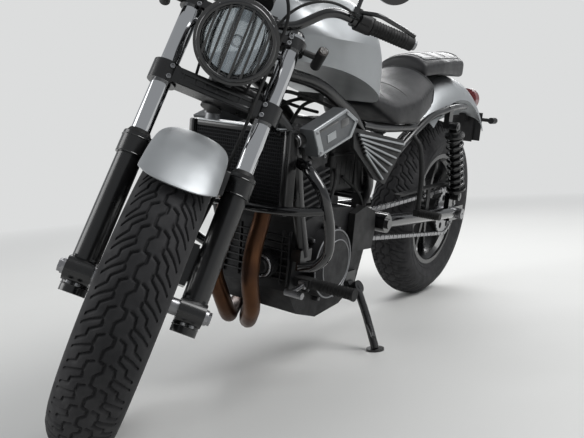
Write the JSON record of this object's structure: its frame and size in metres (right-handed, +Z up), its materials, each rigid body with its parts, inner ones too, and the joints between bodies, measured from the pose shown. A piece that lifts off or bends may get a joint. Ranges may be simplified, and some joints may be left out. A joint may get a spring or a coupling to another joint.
{
  "type": "cruiser motorcycle",
  "caption": "Low cruiser motorcycle parked on its side stand: silver tank and fenders, black engine and forks, round headlamp, fat tyres, turning wheels, steering and folding stand.",
  "frame": {"origin": "on the ground, at the bottom centre of the box round the parked machine", "axes": "forward is -Y, the rider's left is +X, up is +Z"},
  "size_m": [0.674, 2.11, 1.2322],
  "materials": {
    "tyre": "matt black rubber",
    "satin_silver": "satin silver paint",
    "black_paint": "satin black paint",
    "gloss_black": "gloss black paint",
    "black_engine": "matt black engine paint",
    "chrome": "polished",
    "steel": "machined",
    "heat_steel": "heat tinted",
    "rubber": "moulded",
    "leather": "satin black",
    "plastic": "grained",
    "grey_plastic": "ribbed grey",
    "glass": "clear",
    "red_lens": "red lens"
  },
  "bodies": {
    "front_wheel": {"front_tyre": "tyre", "front_wheel_casting": "black_paint", "front_brake_disc": "steel"},
    "rear_wheel": {"rear_tyre": "tyre", "rear_wheel_casting": "black_paint", "rear_brake_disc": "steel", "rear_sprocket": "steel"},
    "steering": {"lower_clamp": "black_paint", "upper_clamp": "black_paint", "fork_tubes": "chrome", "fork_sliders": "black_paint", "front_axle": "steel", "front_brake_caliper": "black_paint", "front_fender": "satin_silver", "headlamp_shell": "gloss_black", "headlamp_glass": "glass", "headlamp_guard": "gloss_black", "handlebar": "gloss_black", "grips": "rubber", "switch_housings": "plastic", "control_levers": "black_paint", "mirrors": "gloss_black", "instrument": "plastic", "front_indicators": "plastic"},
    "chassis": {"frame": "black_paint", "rear_frame": "black_paint", "crankcase": "black_engine", "cylinders": "black_engine", "cylinder_head": "black_engine", "engine_covers": "black_engine", "oil_filter": "black_engine", "sprocket_cover": "plastic", "radiator": "black_engine", "exhaust_headers": "heat_steel", "muffler": "black_paint", "fuel_tank": "satin_silver", "fuel_cap": "steel", "rider_seat": "leather", "pillion_pad": "leather", "rear_fender": "satin_silver", "tail_lamp": "red_lens", "plate_holder": "plastic", "rear_indicators": "plastic", "side_covers": "plastic", "tank_side_boxes": "grey_plastic", "swingarm": "gloss_black", "rear_axle": "steel", "rear_shocks": "black_paint", "shock_springs": "gloss_black", "drive_chain": "steel", "chain_guard": "plastic", "rear_brake_caliper": "black_paint", "foot_pegs": "rubber", "foot_levers": "steel", "passenger_pegs": "black_paint", "crash_bar": "gloss_black", "stand_bracket": "black_paint"},
    "side_stand": {"side_stand_leg": "black_paint"}
  },
  "joints": [
    {"name": "steering", "type": "hinge", "parent": "chassis", "child": "steering", "pos_m": [-0.06437, -0.73946, 0.28237], "axis": [0.1624, 0.4641, 0.8708], "range_deg": [-82, 0]},
    {"name": "front_wheel_spin", "type": "hinge", "parent": "steering", "child": "front_wheel", "pos_m": [-0.02666, -0.77492, 0.29424], "axis": [0.6852, 0.582, -0.438], "continuous": true},
    {"name": "rear_wheel_spin", "type": "hinge", "parent": "chassis", "child": "rear_wheel", "pos_m": [-0.05923, 0.70345, 0.31877], "axis": [0.9829, 0.0011, -0.1839], "continuous": true},
    {"name": "side_stand_fold", "type": "hinge", "parent": "chassis", "child": "side_stand", "pos_m": [0.05502, -0.0306, 0.16363], "axis": [0.9247, -0.0763, 0.373], "range_deg": [0, 88]}
  ]
}
